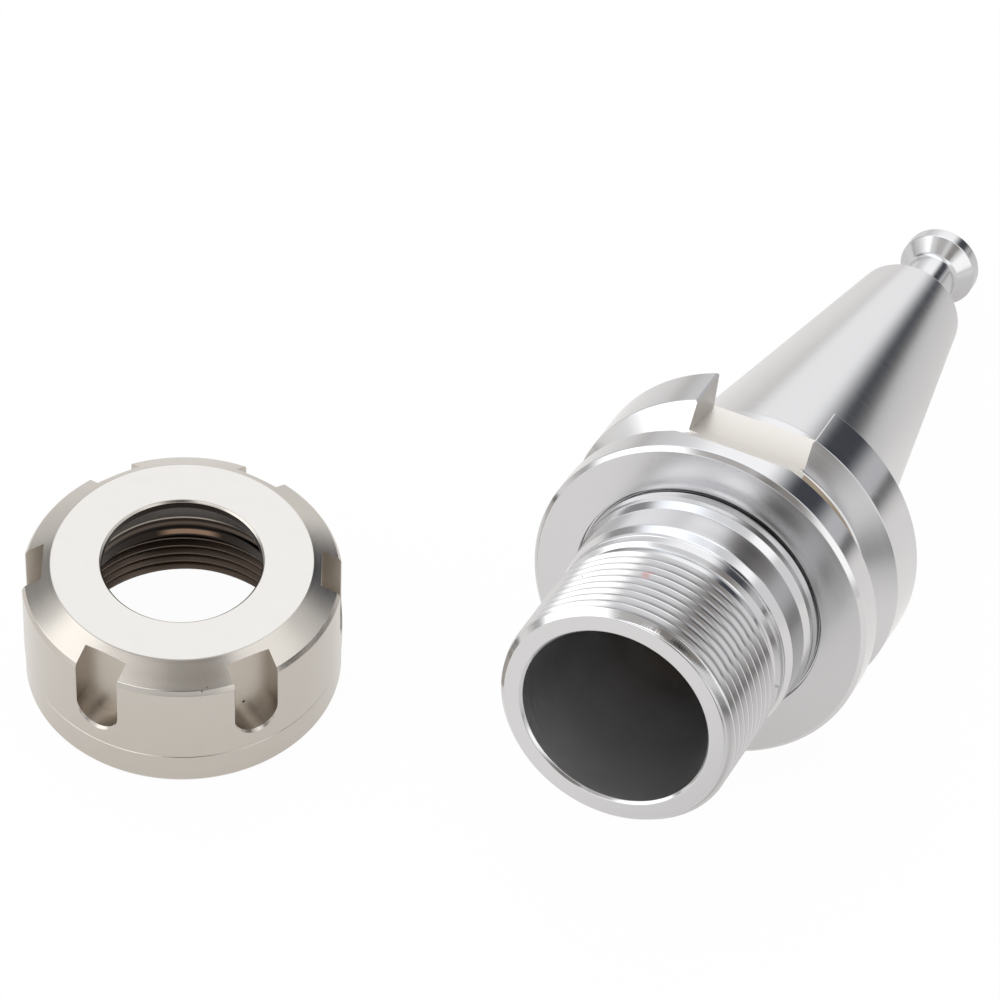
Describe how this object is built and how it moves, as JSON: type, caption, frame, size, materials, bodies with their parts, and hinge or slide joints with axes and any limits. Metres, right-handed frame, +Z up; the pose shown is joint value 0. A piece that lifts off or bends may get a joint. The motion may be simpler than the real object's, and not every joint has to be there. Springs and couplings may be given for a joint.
{
  "type": "collet chuck holder",
  "caption": "Steep-taper milling holder with a threaded collet nose, slotted flange and pull stud, lying beside its slotted clamping nut.",
  "frame": {"origin": "under the middle of the whole object, on the surface that the holder and the nut lie on", "axes": "+Z up; the holder's axis runs from its nose at -Y to its stud at +Y, dipping to the stud by the tilt at which it rests; the nut's axis is along Z"},
  "size_m": [0.1089, 0.1318, 0.0474],
  "materials": {
    "ground_steel": "hardened steel, cylindrically ground, satin to bright",
    "polished_steel": "fine ground collar, neck and head polished bright",
    "satin_nickel": "turned steel with a satin nickel plating, slightly warm"
  },
  "bodies": {
    "root": {"holder_body": "ground_steel", "pull_stud": "polished_steel", "clamping_nut": "satin_nickel"}
  },
  "joints": []
}
